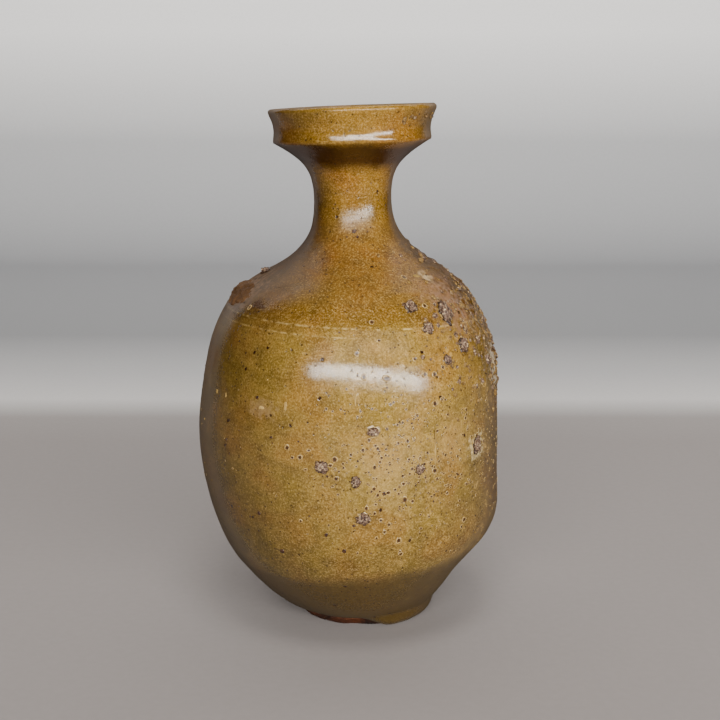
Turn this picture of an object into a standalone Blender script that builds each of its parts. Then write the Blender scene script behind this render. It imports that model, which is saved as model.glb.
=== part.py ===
"""Sake bottle in ash-glazed stoneware with a dish mouth, built from luted clay sections.

Units are metres and +Z is up. The bottle stands on z = 0 with its front towards -Y,
and the origin is the centre of the floor area that it covers. Every section of clay
is turned about the Z axis, and one function then settles all of them in the same
way, as soft clay sags and leans in drying and firing.
"""
import math

import bmesh
import bpy
import numpy as np
from mathutils import Matrix, Vector, noise

MM = 0.001

# Driving dimensions
FOOT_RADIUS = 30.5 * MM
BELLY_RADIUS = 73.7 * MM
BELLY_HEIGHT = 88.0 * MM
SHOULDER_RADIUS = 61.8 * MM
SHOULDER_HEIGHT = 152.5 * MM
NECK_RADIUS = 18.3 * MM
NECK_HEIGHT = 208.0 * MM
DISH_RADIUS = 36.0 * MM
DISH_HEIGHT = 231.6 * MM
DISH_SEAT = (33.2 * MM, 233.4 * MM)
MOUTH_RADIUS = 40.0 * MM
MOUTH_HEIGHT = 248.4 * MM
BASE_THICKNESS = 7.5 * MM

# Joints: the gap left between sections, how far each side is set back along the wall,
# how far the slanted cut runs up the wall, and how far grit and flake stand off it
GAP = 0.3 * MM
JOINT_SETBACK = 0.6 * GAP
SCARF = 4.0 * MM
GRIT_LIFT = 1.2 * GAP
SHARD_LIFT = 1.3 * GAP

SEGMENTS = 64
LENGTH_SAMPLES = 60
SLOPE_STEP = 0.2 * MM

# Heights on the outside where one section of clay is luted to the next
BELLY_JOINT = 62.0 * MM
SHOULDER_JOINT = SHOULDER_HEIGHT
NECK_JOINT = 187.0 * MM
DISH_JOINT = 221.0 * MM

# The outside from foot to dish, as height and radius
OUTLINE = (
    (0.0, FOOT_RADIUS),
    (8.0 * MM, 40.0 * MM),
    (17.0 * MM, 48.7 * MM),
    (27.0 * MM, 56.8 * MM),
    (38.0 * MM, 64.4 * MM),
    (52.0 * MM, 70.4 * MM),
    (70.0 * MM, 72.4 * MM),
    (BELLY_HEIGHT, BELLY_RADIUS),
    (110.0 * MM, 72.6 * MM),
    (128.0 * MM, 70.3 * MM),
    (142.0 * MM, 66.8 * MM),
    (SHOULDER_HEIGHT, SHOULDER_RADIUS),
    (162.0 * MM, 54.6 * MM),
    (169.0 * MM, 46.0 * MM),
    (175.0 * MM, 35.2 * MM),
    (182.0 * MM, 26.5 * MM),
    (191.0 * MM, 20.5 * MM),
    (200.0 * MM, 18.5 * MM),
    (NECK_HEIGHT, NECK_RADIUS),
    (216.0 * MM, 19.5 * MM),
    (222.0 * MM, 22.8 * MM),
    (227.0 * MM, 28.6 * MM),
    (DISH_HEIGHT, DISH_RADIUS),
)

# How thick the wall is, by height on the outside
WALL = (
    (0.0, 7.2 * MM),
    (60.0 * MM, 6.4 * MM),
    (150.0 * MM, 5.6 * MM),
    (200.0 * MM, 5.0 * MM),
    (DISH_HEIGHT, 4.4 * MM),
)

# Base disc: its rim, as how far it stands past the foot radius and height, and then
# its top, as radius and height
DISC_RIM = (
    (0.6 * MM, 0.0),
    (1.8 * MM, 0.8 * MM),
    (3.0 * MM, 3.2 * MM),
    (2.2 * MM, 4.3 * MM),
)
DISC_TOP = (
    (31.0 * MM, 4.45 * MM),
    (25.2 * MM, BASE_THICKNESS),
    (13.0 * MM, BASE_THICKNESS - 0.4 * MM),
    (0.0, BASE_THICKNESS - 0.6 * MM),
)

# Wear round the rim of the disc, in mm: the mean, the swing, and the waves that make it
# up as strength, waves in a turn and phase
RIM_WORN = 0.4
RIM_SWING = 0.5
RIM_WAVES = ((0.5, 3, 1.0), (0.3, 8, 0.0))
RIM_WIDTH = 2.0 * MM
RIM_TOP = 4.4 * MM

# Lower end of the lower wall: where it sits on the disc, where its outside and inside
# curves begin, and the fillet that joins them, as radius and height
WALL_START = 4.7 * MM
WALL_CORNER = (33.0 * MM, WALL_START)
WALL_SEAT = (31.0 * MM, WALL_START + 0.15 * MM)
WALL_OUTSIDE_START = 6.6 * MM
WALL_INSIDE_START = 12.0 * MM
FOOT_FILLET = ((32.4 * MM, 12.6 * MM), (28.6 * MM, 9.6 * MM), (25.2 * MM, 8.1 * MM))

# Mouth: where the inside of the dish ends, and the collar, as how far each point stands
# past the dish radius and above its lower edge
DISH_INSIDE_TOP = 228.6 * MM
COLLAR_OUTSIDE = (
    (1.1 * MM, 0.6 * MM),
    (1.1 * MM, 1.8 * MM),
    (0.8 * MM, 5.4 * MM),
    (1.6 * MM, 10.2 * MM),
)
COLLAR_INSIDE = ((-1.9 * MM, 9.6 * MM), (-2.9 * MM, 5.4 * MM))
COLLAR_SEAT_INSET = 0.1 * MM
LIP_RADIUS = 2.0 * MM
LIP_STEP = 36

# How far the axis leans towards +X, by height
LEAN = (
    (0.0, 6.9 * MM),
    (9.0 * MM, 3.7 * MM),
    (22.0 * MM, 2.3 * MM),
    (38.0 * MM, 2.6 * MM),
    (50.0 * MM, 3.4 * MM),
    (68.0 * MM, 0.9 * MM),
    (95.0 * MM, -0.4 * MM),
    (125.0 * MM, 0.9 * MM),
    (150.0 * MM, 0.9 * MM),
    (165.0 * MM, 1.0 * MM),
    (178.0 * MM, 2.6 * MM),
    (200.0 * MM, 1.9 * MM),
    (MOUTH_HEIGHT, 1.6 * MM),
)
SET_BACK = 1.0 * MM

# The neck and mouth went on with a slight tilt, the +X side higher
TILT = 0.036
TILT_START = 150.0 * MM
TILT_FULL = 185.0 * MM

# A flat dent low on the +X side
DENT_HEIGHT = 27.0 * MM
DENT_REACH = 10.0 * MM
DENT_DEPTH = 3.6 * MM
DENT_SPREAD = math.radians(38.0)
DENT_FADES = (4.0 * MM, 20.0 * MM)

# Kiln grit fused to the glaze: azimuth from the front towards +X in degrees, height,
# then width, length up the wall, and how far it stands out
GRIT = (
    (28.7, 159.7 * MM, 5.6 * MM, 5.8 * MM, 2.6 * MM),
    (33.9, 151.0 * MM, 5.2 * MM, 5.2 * MM, 2.4 * MM),
    (46.5, 156.0 * MM, 7.6 * MM, 9.4 * MM, 2.8 * MM),
    (40.0, 137.0 * MM, 4.2 * MM, 4.0 * MM, 1.8 * MM),
    (50.0, 141.4 * MM, 5.4 * MM, 6.0 * MM, 1.9 * MM),
    (54.0, 95.0 * MM, 5.4 * MM, 7.4 * MM, 2.2 * MM),
    (26.3, 90.4 * MM, 4.6 * MM, 4.6 * MM, 1.7 * MM),
    (8.8, 109.0 * MM, 5.4 * MM, 3.4 * MM, 1.6 * MM),
    (-8.6, 93.3 * MM, 5.2 * MM, 5.4 * MM, 2.4 * MM),
    (3.2, 86.7 * MM, 3.8 * MM, 5.4 * MM, 1.9 * MM),
    (4.9, 69.2 * MM, 6.4 * MM, 5.2 * MM, 2.5 * MM),
    (-84.5, 170.2 * MM, 5.0 * MM, 4.0 * MM, 2.2 * MM),
)

# Shape of a lump of radius one: how rough, how fine, how far apart two lumps' patterns
# are, and how far below its middle it is cut flat
LUMP_ROUGH = 0.16
LUMP_FINENESS = 1.7
LUMP_APART = 3.1
LUMP_CUT = 0.1

# Flake left on the -X shoulder by a pot that touched it: azimuth and height of its
# middle, half its spread, its thickness, how much its corners are rounded and its edge is
# feathered, and the place, narrowness and height of the spur where it broke away
SHARD_AZIMUTH = -78.0
SHARD_HEIGHT = 161.8 * MM
SHARD_HALF_ANGLE = 19.0
SHARD_HALF_HEIGHT = 5.6 * MM
SHARD_RISE = 1.2 * MM
SHARD_ROUNDING = 0.3
SHARD_FEATHER = 0.7
SPUR_PLACE = (-0.4, 0.2)
SPUR_NARROW = (3.0, 1.6)
SPUR_SHARP = 1.4
SPUR_RISE = 1.9 * MM

# Small steps along the wall that give its direction at a seat
SEAT_STEP_ROUND = 0.01
SEAT_STEP_UP = 0.5 * MM


def curve_through(points, at):
    """Smooth curve through (position, value) pairs, read at one position."""
    places, values = np.array(points).T
    slopes = np.gradient(values, places)
    index = int(np.clip(np.searchsorted(places, at) - 1, 0, len(places) - 2))
    width = places[index + 1] - places[index]
    t = (at - places[index]) / width
    start = (1 + 2 * t) * (1 - t) ** 2 * values[index]
    start += t * (1 - t) ** 2 * width * slopes[index]
    end = t * t * (3 - 2 * t) * values[index + 1]
    end += t * t * (t - 1) * width * slopes[index + 1]
    return float(start + end)


def smooth_step(value, low, high):
    t = min(max((value - low) / (high - low), 0.0), 1.0)
    return t * t * (3 - 2 * t)


def outline_slope(height):
    """Change of the outer radius with height."""
    above = curve_through(OUTLINE, height + SLOPE_STEP)
    below = curve_through(OUTLINE, height - SLOPE_STEP)
    return (above - below) / (2 * SLOPE_STEP)


def outer_point(height):
    return (curve_through(OUTLINE, height), height)


def inner_point(height):
    """The inside of the wall, square in from the outside at this height."""
    slope = outline_slope(height)
    reach = curve_through(WALL, height) / math.hypot(1.0, slope)
    radius, _ = outer_point(height)
    return (radius - reach, height + reach * slope)


def along_wall(height, distance):
    """The height reached by going a distance up the outside of the wall."""
    return height + distance / math.hypot(1.0, outline_slope(height))


def even_steps(low, high, count):
    """Heights that divide the outside between two heights into equal lengths."""
    heights = np.linspace(low, high, LENGTH_SAMPLES)
    radii = [outer_point(height)[0] for height in heights]
    lengths = np.hypot(np.diff(heights), np.diff(radii))
    travelled = np.concatenate(([0.0], np.cumsum(lengths)))
    return np.interp(np.linspace(0, travelled[-1], count + 1), travelled, heights)


def wall_profile(low, high, outer_count, inner_count):
    """Closed outline of one section between two joints, each cut on a slant."""
    low = along_wall(low, JOINT_SETBACK)
    high = along_wall(high, -JOINT_SETBACK)
    outside = [outer_point(height) for height in even_steps(low, high, outer_count)]
    inner_low = along_wall(low, SCARF)
    inner_high = along_wall(high, SCARF)
    inside = [inner_point(height) for height in even_steps(inner_low, inner_high, inner_count)]
    return outside + inside[::-1]


def lower_wall_profile():
    """From the base disc up to the belly joint, with a fillet inside at the foot."""
    top = along_wall(BELLY_JOINT, -JOINT_SETBACK)
    outside = [outer_point(height) for height in even_steps(WALL_OUTSIDE_START, top, 8)]
    inner_top = along_wall(top, SCARF)
    inside = [inner_point(height) for height in even_steps(WALL_INSIDE_START, inner_top, 6)]
    return [WALL_CORNER] + outside + inside[::-1] + list(FOOT_FILLET) + [WALL_SEAT]


def base_disc_profile():
    """Flat disc whose bevelled shoulder the lower wall sits on."""
    rim = [(FOOT_RADIUS + past, height) for past, height in DISC_RIM]
    return [(0.0, 0.0)] + rim + list(DISC_TOP)


def dish_profile():
    """Flared floor of the mouth, from the top of the neck to under the collar."""
    low = along_wall(DISH_JOINT, JOINT_SETBACK)
    top = along_wall(DISH_HEIGHT, -JOINT_SETBACK)
    outside = [outer_point(height) for height in even_steps(low, top, 3)]
    inner_low = along_wall(low, SCARF)
    inside = [inner_point(height) for height in even_steps(inner_low, DISH_INSIDE_TOP, 3)]
    return outside + [(DISH_SEAT[0], DISH_SEAT[1] - JOINT_SETBACK)] + inside[::-1]


def collar_profile():
    """Upright band with a sharp lower edge, a rounded lip and a filleted foot inside."""
    bottom = outer_point(along_wall(DISH_HEIGHT, JOINT_SETBACK))
    edge = bottom[1]
    lip_centre = (MOUTH_RADIUS - LIP_RADIUS, MOUTH_HEIGHT - LIP_RADIUS)
    points = [bottom]
    points += [(DISH_RADIUS + past, edge + above) for past, above in COLLAR_OUTSIDE]
    for degrees in range(0, 181, LIP_STEP):
        angle = math.radians(degrees)
        points.append((lip_centre[0] + LIP_RADIUS * math.cos(angle),
                       lip_centre[1] + LIP_RADIUS * math.sin(angle)))
    points += [(DISH_RADIUS + past, edge + above) for past, above in COLLAR_INSIDE]
    points.append((DISH_SEAT[0] - COLLAR_SEAT_INSET, DISH_SEAT[1] + JOINT_SETBACK))
    return points


def settle(place):
    """Move a point of the true turned shape to where the fired clay ended up."""
    x, y, z = place
    azimuth = math.atan2(x, -y)
    radius = math.hypot(x, y)
    off_side = azimuth - math.pi / 2
    dent = math.exp(-((z - DENT_HEIGHT) / DENT_REACH) ** 2 - (off_side / DENT_SPREAD) ** 2)
    clear_of_foot = smooth_step(z, *DENT_FADES)
    radius -= DENT_DEPTH * dent * clear_of_foot * radius / BELLY_RADIUS
    tilted = smooth_step(z, TILT_START, TILT_FULL)
    x = radius * math.sin(azimuth)
    y = -radius * math.cos(azimuth)
    lean = curve_through(LEAN, min(z, MOUTH_HEIGHT))
    return Vector((x + lean, y + SET_BACK, z + TILT * x * tilted))


def material(name, colour, roughness):
    shade = bpy.data.materials.new(name)
    shade.use_nodes = True
    shader = shade.node_tree.nodes["Principled BSDF"]
    shader.inputs["Base Color"].default_value = (*colour, 1.0)
    shader.inputs["Roughness"].default_value = roughness
    shader.inputs["Metallic"].default_value = 0.0
    return shade


def add_object(name, bm, shade):
    bmesh.ops.recalc_face_normals(bm, faces=bm.faces)
    mesh = bpy.data.meshes.new(name)
    bm.to_mesh(mesh)
    bm.free()
    mesh.shade_smooth()
    mesh.set_sharp_from_angle(angle=math.radians(40))
    mesh.materials.append(shade)
    piece = bpy.data.objects.new(name, mesh)
    bpy.context.collection.objects.link(piece)
    return piece


def turned(name, profile, shade):
    """Spin a closed outline once round the Z axis, then let the clay settle."""
    bm = bmesh.new()
    verts = [bm.verts.new((radius, 0.0, height)) for radius, height in profile]
    on_axis = profile[0][0] == 0.0
    edges = [bm.edges.new(pair) for pair in zip(verts, verts[1:])]
    if not on_axis:
        edges.append(bm.edges.new((verts[-1], verts[0])))
    bmesh.ops.spin(bm, geom=edges, axis=(0, 0, 1), angle=math.tau, steps=SEGMENTS,
                   use_merge=True)
    bmesh.ops.remove_doubles(bm, verts=bm.verts, dist=0.01 * MM)
    for vert in bm.verts:
        vert.co = settle(vert.co)
    return add_object(name, bm, shade)


def base_disc(shade):
    """The disc, with its rim worn and ragged where it stands proud of the wall."""
    disc = turned("base_disc", base_disc_profile(), shade)
    centre = settle((0.0, 0.0, 0.0))
    for vert in disc.data.vertices:
        outward = Vector((vert.co.x - centre.x, vert.co.y - centre.y, 0.0))
        if outward.length < FOOT_RADIUS - RIM_WIDTH or vert.co.z > RIM_TOP:
            continue
        angle = math.atan2(outward.x, -outward.y)
        ragged = sum(size * math.sin(waves * angle + phase) for size, waves, phase in RIM_WAVES)
        vert.co -= outward.normalized() * (RIM_WORN + RIM_SWING * ragged) * MM
    return disc


def wall_place(azimuth, height):
    """Point on the outside of the settled wall."""
    radius, _ = outer_point(height)
    return settle((radius * math.sin(azimuth), -radius * math.cos(azimuth), height))


def wall_seat(degrees, height, lift):
    """Frame on the wall: X round the bottle, Y up the wall, Z outwards."""
    azimuth = math.radians(degrees)
    place = wall_place(azimuth, height)
    around = (wall_place(azimuth + SEAT_STEP_ROUND, height) - place).normalized()
    upward = (wall_place(azimuth, height + SEAT_STEP_UP) - place).normalized()
    outward = around.cross(upward).normalized()
    upward = outward.cross(around)
    frame = Matrix((around, upward, outward)).transposed().to_4x4()
    return Matrix.Translation(place + outward * lift) @ frame


def lump(name, size, seed, shade):
    """Rough pebble with a flat underside at its own z = 0."""
    bm = bmesh.new()
    bmesh.ops.create_icosphere(bm, subdivisions=2, radius=1.0)
    for vert in bm.verts:
        pattern = vert.co * LUMP_FINENESS + Vector((seed * LUMP_APART, 0.0, 0.0))
        rough = 1.0 + LUMP_ROUGH * noise.noise(pattern)
        vert.co = vert.co * rough
    cut = bmesh.ops.bisect_plane(bm, geom=bm.verts[:] + bm.edges[:] + bm.faces[:],
                                 plane_co=(0, 0, -LUMP_CUT), plane_no=(0, 0, -1), clear_outer=True)
    rim = [item for item in cut["geom_cut"] if isinstance(item, bmesh.types.BMEdge)]
    bmesh.ops.contextual_create(bm, geom=rim)
    for vert in bm.verts:
        vert.co = (vert.co.x * size[0] / 2, vert.co.y * size[1] / 2,
                   (vert.co.z + LUMP_CUT) * size[2])
    return add_object(name, bm, shade)


def shard(shade):
    """Thin flake curved to the shoulder, feathered at its edge, with a broken spur."""
    bm = bmesh.new()
    bmesh.ops.create_grid(bm, x_segments=10, y_segments=5, size=1.0)
    under = bmesh.ops.extrude_face_region(bm, geom=bm.faces[:])["geom"]
    for item in under:
        if isinstance(item, bmesh.types.BMVert):
            item.co.z = 1.0
    for vert in bm.verts:
        across, up, top = vert.co
        rounding = 1.0 - SHARD_ROUNDING * across * across * up * up
        degrees = SHARD_AZIMUTH + SHARD_HALF_ANGLE * across * rounding
        height = SHARD_HEIGHT + SHARD_HALF_HEIGHT * up * rounding
        feather = 1.0 - SHARD_FEATHER * max(abs(across), abs(up)) ** 4
        from_spur = math.hypot((across - SPUR_PLACE[0]) * SPUR_NARROW[0],
                               (up - SPUR_PLACE[1]) * SPUR_NARROW[1])
        rise = SHARD_RISE * feather + SPUR_RISE * math.exp(-(from_spur * SPUR_SHARP) ** 2)
        vert.co = wall_seat(degrees, height, SHARD_LIFT + rise * top).translation
    return add_object("stuck_shard", bm, shade)


def build():
    for old in list(bpy.data.objects):
        bpy.data.objects.remove(old)

    bare_clay = material("bare red-brown stoneware clay", (0.23, 0.09, 0.045), 0.85)
    body_glaze = material("olive ash glaze on the body", (0.27, 0.18, 0.055), 0.28)
    shoulder_glaze = material("warm ash glaze on the shoulder", (0.25, 0.14, 0.045), 0.32)
    mouth_glaze = material("amber ash glaze on neck and mouth", (0.29, 0.17, 0.045), 0.30)
    grit = material("fused kiln grit", (0.24, 0.17, 0.17), 0.75)

    base_disc(bare_clay)
    turned("lower_wall", lower_wall_profile(), body_glaze)
    turned("belly_wall", wall_profile(BELLY_JOINT, SHOULDER_JOINT, 7, 6), body_glaze)
    turned("shoulder_dome", wall_profile(SHOULDER_JOINT, NECK_JOINT, 6, 5), shoulder_glaze)
    turned("neck_tube", wall_profile(NECK_JOINT, DISH_JOINT, 6, 4), mouth_glaze)
    turned("mouth_dish", dish_profile(), mouth_glaze)
    turned("rim_collar", collar_profile(), mouth_glaze)

    for number, (degrees, height, width, length, rise) in enumerate(GRIT, start=1):
        piece = lump(f"kiln_grit_{number:02d}", (width, length, rise), number, grit)
        piece.matrix_world = wall_seat(degrees, height, GRIT_LIFT)
    shard(bare_clay)


build()
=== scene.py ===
# %% [markdown]
# # A wood-fired sake bottle
# A tall stoneware bottle, thrown in sections and luted together. In the kiln, ash fell on
# one shoulder and melted there, grit from the shelves stuck to it, and another pot left a
# flake of clay behind. This lesson takes the plain CAD model of the bottle and gives it
# the surface that fire, ash and the potter's fingers left on it.

import math
import random

import bpy
import numpy as np
from mathutils import Euler, Matrix, Vector, noise
from mathutils.bvhtree import BVHTree


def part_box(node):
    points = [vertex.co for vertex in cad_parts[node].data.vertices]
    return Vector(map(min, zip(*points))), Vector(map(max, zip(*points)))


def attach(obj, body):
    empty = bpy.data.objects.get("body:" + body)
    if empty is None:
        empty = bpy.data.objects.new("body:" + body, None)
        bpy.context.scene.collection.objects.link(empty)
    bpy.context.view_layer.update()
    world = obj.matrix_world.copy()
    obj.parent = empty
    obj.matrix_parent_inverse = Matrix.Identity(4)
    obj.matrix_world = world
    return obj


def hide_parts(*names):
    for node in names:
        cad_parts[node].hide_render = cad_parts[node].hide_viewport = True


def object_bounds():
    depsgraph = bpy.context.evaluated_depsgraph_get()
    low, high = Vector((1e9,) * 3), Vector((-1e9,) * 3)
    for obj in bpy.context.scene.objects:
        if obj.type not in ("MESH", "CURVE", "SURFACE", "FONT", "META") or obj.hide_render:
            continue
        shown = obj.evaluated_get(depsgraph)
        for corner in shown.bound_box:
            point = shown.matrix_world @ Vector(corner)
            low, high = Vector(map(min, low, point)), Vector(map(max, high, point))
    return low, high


MM = 0.001
AXIS = 1.0 * MM  # the wheel turned about a line 1 mm right of and 1 mm behind the origin
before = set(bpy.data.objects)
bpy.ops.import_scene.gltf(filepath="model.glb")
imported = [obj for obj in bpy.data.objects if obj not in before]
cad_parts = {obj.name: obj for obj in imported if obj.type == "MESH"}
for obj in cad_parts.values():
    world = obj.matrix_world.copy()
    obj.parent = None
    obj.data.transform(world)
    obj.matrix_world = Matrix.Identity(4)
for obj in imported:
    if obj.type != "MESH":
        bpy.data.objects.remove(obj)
cad_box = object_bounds()
print("CAD box in mm:", [tuple(round(c / MM, 1) for c in corner) for corner in cad_box])

# %% [markdown]
# ## The camera
# The bottle is seen from just above its lip, a little over half a metre away, so the
# mouth shows as a thin band and the shoulder slopes away. A short telephoto lens keeps
# the sides of the belly from bulging towards us.

# %% Camera
CAMERA_DISTANCE = 0.602
CAMERA_SIDE = 5.5 * MM
CAMERA_HEIGHT = cad_box[1].z + 5.0 * MM
CAMERA_TILT = math.radians(12.06)

lens = bpy.data.cameras.new("camera")
lens.sensor_width = 36.0
lens.lens = 62.7
camera = bpy.data.objects.new("camera", lens)
camera.location = (CAMERA_SIDE, -CAMERA_DISTANCE, CAMERA_HEIGHT)
camera.rotation_euler = (math.pi / 2 - CAMERA_TILT, 0.0, 0.0)
bpy.context.collection.objects.link(camera)
bpy.context.scene.camera = camera
print("camera at", [round(c, 3) for c in camera.location])

# %% [markdown]
# ## Picking a piece to work on
# Blender's operators act on whatever is selected, and the CAD nodes arrive selected. So
# every step starts by letting go of everything and taking hold of one piece.

# %% Helpers for selecting
def let_go():
    """Leaves edit mode and deselects everything."""
    if bpy.context.object and bpy.context.object.mode != "OBJECT":
        bpy.ops.object.mode_set(mode="OBJECT")
    bpy.ops.object.select_all(action="DESELECT")


def take(piece, *others):
    """Selects a piece, and any others, and makes the first one active."""
    let_go()
    for each in (piece, *others):
        each.select_set(True)
    bpy.context.view_layer.objects.active = piece


def in_edit(piece, mode="FACE"):
    """Opens a piece in edit mode with nothing selected."""
    take(piece)
    bpy.ops.object.mode_set(mode="EDIT")
    bpy.ops.mesh.select_mode(type=mode)
    bpy.ops.mesh.select_all(action="DESELECT")
    bpy.ops.object.mode_set(mode="OBJECT")


# %% [markdown]
# ## The wall, taken from the CAD sections
# The real wall is six thrown rings, pressed together while damp and then glazed over, so
# no joint shows. The CAD keeps the rings apart. Each one is copied, its loose triangles
# are merged and turned back into four-sided faces, and the hidden faces where it meets
# its neighbour are removed. The open rings can then be welded into one skin that
# smooths without a seam.

# %% Copy one section without its joint faces
SECTIONS = ["lower_wall", "belly_wall", "shoulder_dome", "neck_tube", "mouth_dish", "rim_collar"]
STACK = ["base_disc"] + SECTIONS
JOINT_REACH = 0.6 * MM


def merged_copy(node):
    """Copy of a CAD node as one clean mesh of quads."""
    piece = bpy.data.objects.new(node + "_fired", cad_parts[node].data.copy())
    bpy.context.collection.objects.link(piece)
    piece.data.materials.clear()
    take(piece)
    bpy.ops.mesh.customdata_custom_splitnormals_clear()
    bpy.ops.object.mode_set(mode="EDIT")
    bpy.ops.mesh.select_all(action="SELECT")
    bpy.ops.mesh.remove_doubles(threshold=0.02 * MM)
    bpy.ops.mesh.tris_convert_to_quads(face_threshold=math.radians(60), shape_threshold=math.radians(60))
    bpy.ops.mesh.mark_sharp(clear=True)
    bpy.ops.object.mode_set(mode="OBJECT")
    return piece


def open_section(node):
    """One ring of the wall, open where it meets the rings above and below."""
    piece = merged_copy(node)
    place = STACK.index(node)
    graph = bpy.context.evaluated_depsgraph_get()
    near = [BVHTree.FromObject(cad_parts[other], graph)
            for other in STACK[max(place - 1, 0):place + 2] if other != node]
    in_edit(piece)
    for face in piece.data.polygons:
        face.select = any(tree.find_nearest(face.center)[3] < JOINT_REACH for tree in near)
    bpy.ops.object.mode_set(mode="EDIT")
    bpy.ops.mesh.delete(type="FACE")
    bpy.ops.object.mode_set(mode="OBJECT")
    piece.data.materials.append(bpy.data.materials.new("section_" + node))
    return piece


rings = [open_section(node) for node in SECTIONS]
for ring in rings:
    odd = sum(len(face.vertices) != 4 for face in ring.data.polygons)
    print(ring.name, len(ring.data.polygons), "faces,", odd, "not four-sided")

# %% Weld the rings into one skin
WELD_REACH = 0.5 * MM

take(*rings)
bpy.ops.object.join()
wall = bpy.context.object
wall.name = "wall"
bpy.ops.object.mode_set(mode="EDIT")
bpy.ops.mesh.select_mode(type="EDGE")
bpy.ops.mesh.select_all(action="DESELECT")
bpy.ops.mesh.select_non_manifold()
bpy.ops.mesh.remove_doubles(threshold=WELD_REACH)
bpy.ops.mesh.select_all(action="DESELECT")
bpy.ops.mesh.select_non_manifold()
bpy.ops.object.mode_set(mode="OBJECT")
loose = sum(edge.select for edge in wall.data.edges)
print("open edges left, all at the foot:", loose)

# %% [markdown]
# ## Smoothing the skin
# Clay has no facets. A Subdivision Surface gives the wheel-thrown roundness. The lower
# edge of the collar is the one crisp line on the bottle, cut with a wooden tool, so its
# edges are creased first and stay sharp.

# %% Crease the collar's lower edge and subdivide
COLLAR_EDGE_CREASE = 0.75
COLLAR_EDGE_REACH = 34.5 * MM
FINE = 3

take(wall)
crease = wall.data.attributes.new("crease_edge", "FLOAT", "EDGE")
points = wall.data.vertices
collar_index = wall.data.materials.find("section_rim_collar")
dish_index = wall.data.materials.find("section_mouth_dish")
sides = {}
for face in wall.data.polygons:
    for key in face.edge_keys:
        sides.setdefault(key, []).append(face)
for edge in wall.data.edges:
    kinds = {face.material_index for face in sides[edge.key]}
    outside = points[edge.vertices[0]].co.xy.length > COLLAR_EDGE_REACH
    if kinds == {collar_index, dish_index} and outside:
        crease.data[edge.index].value = COLLAR_EDGE_CREASE
smooth = wall.modifiers.new("smooth", "SUBSURF")
smooth.levels = smooth.render_levels = FINE
bpy.ops.object.modifier_apply(modifier=smooth.name)
bpy.ops.object.shade_smooth()
print("smoothed wall:", len(wall.data.polygons), "faces")

# %% [markdown]
# ## What the potter and the fire did to the wall
# Fingers leave shallow rings, the clay sags a little, and the glaze lies as a skin that is
# thicker above the line where it was dipped. Ash built a rough crust on the right
# shoulder. All of these are real relief, so the skin itself is moved, in or out along its
# own normal, by the sum of a few simple shapes.

# %% Where a point is on the bottle
DIP_LINE = 35.2 * MM
DIP_RISE = 6.0 * MM
SHOULDER_LINE = 152.9 * MM


def hump(value, middle, spread):
    """Smooth bump of height one."""
    return np.exp(-((value - middle) / spread) ** 2)


def ease(value, low, high):
    """Smooth step from nought to one."""
    t = np.clip((value - low) / (high - low), 0.0, 1.0)
    return t * t * (3 - 2 * t)


def rough(places, size, seed=0.0, octaves=3):
    """Fractal noise at each place, between about -1 and 1."""
    offset = Vector((seed, -seed, seed * 0.5))
    return np.array([noise.fractal(Vector(p) / size + offset, 1.0, 2.0, octaves) for p in places])


count = len(wall.data.vertices)
places = np.zeros(count * 3)
wall.data.vertices.foreach_get("co", places)
places = places.reshape(-1, 3)
normals = np.zeros(count * 3)
wall.data.vertices.foreach_get("normal", normals)
normals = normals.reshape(-1, 3)
azimuth = np.arctan2(places[:, 0] - AXIS, AXIS - places[:, 1])
degrees = np.degrees(azimuth)
height = places[:, 2]
radial = np.stack([np.sin(azimuth), -np.cos(azimuth), np.zeros(count)], axis=1)
facing = (normals * radial).sum(axis=1)
outer = ease(facing, -0.1, 0.35)
print("points on the outside:", int((outer > 0.5).sum()), "of", count)

# %% Finger rings and sagging clay
RING_PITCH = 6.2 * MM
RING_DEPTH_OUTSIDE = 0.012 * MM
RING_DEPTH_INSIDE = 0.16 * MM
CLEAR_RINGS_AT = 116 * MM
SAG_DEPTH = 0.40 * MM
SAG_WIDTH = 60 * MM
PEEL_DEPTH = 0.045 * MM
PEEL_WIDTH = 5.0 * MM
COLLAR_SWELLING = 0.35 * MM
COLLAR_SWELLS_AT = 233 * MM

ring_phase = height / RING_PITCH * math.tau + 0.35 * azimuth
finger_rings = np.sin(ring_phase) + 0.5 * np.sin(ring_phase * 2.3 + 1.0)
ring_depth = RING_DEPTH_OUTSIDE + 0.02 * MM * hump(height, CLEAR_RINGS_AT, 6 * MM)
ring_depth = ring_depth + RING_DEPTH_INSIDE * (1 - outer)
sag = SAG_DEPTH * rough(places, SAG_WIDTH, seed=3.0, octaves=1)
peel = PEEL_DEPTH * rough(places, PEEL_WIDTH, seed=9.0, octaves=3) * outer
swelling = COLLAR_SWELLING * hump(height, COLLAR_SWELLS_AT, 3.6 * MM) * (facing > 0.8)
relief = finger_rings * ring_depth + sag + peel + swelling
print("sag in mm: %.2f to %.2f" % (sag.min() / MM, sag.max() / MM))

# %% The dip line, the shoulder line and the runs
SKIN_THICK = 0.24 * MM
SKIN_FADE = 3.5 * MM
SKIN_ROLL = 0.08 * MM
SHOULDER_LEAN = 2.2 * MM
SHOULDER_ROLL = 0.20 * MM
FAINT_LINE = 165.5 * MM
FAINT_ROLL = 0.25 * MM

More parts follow.
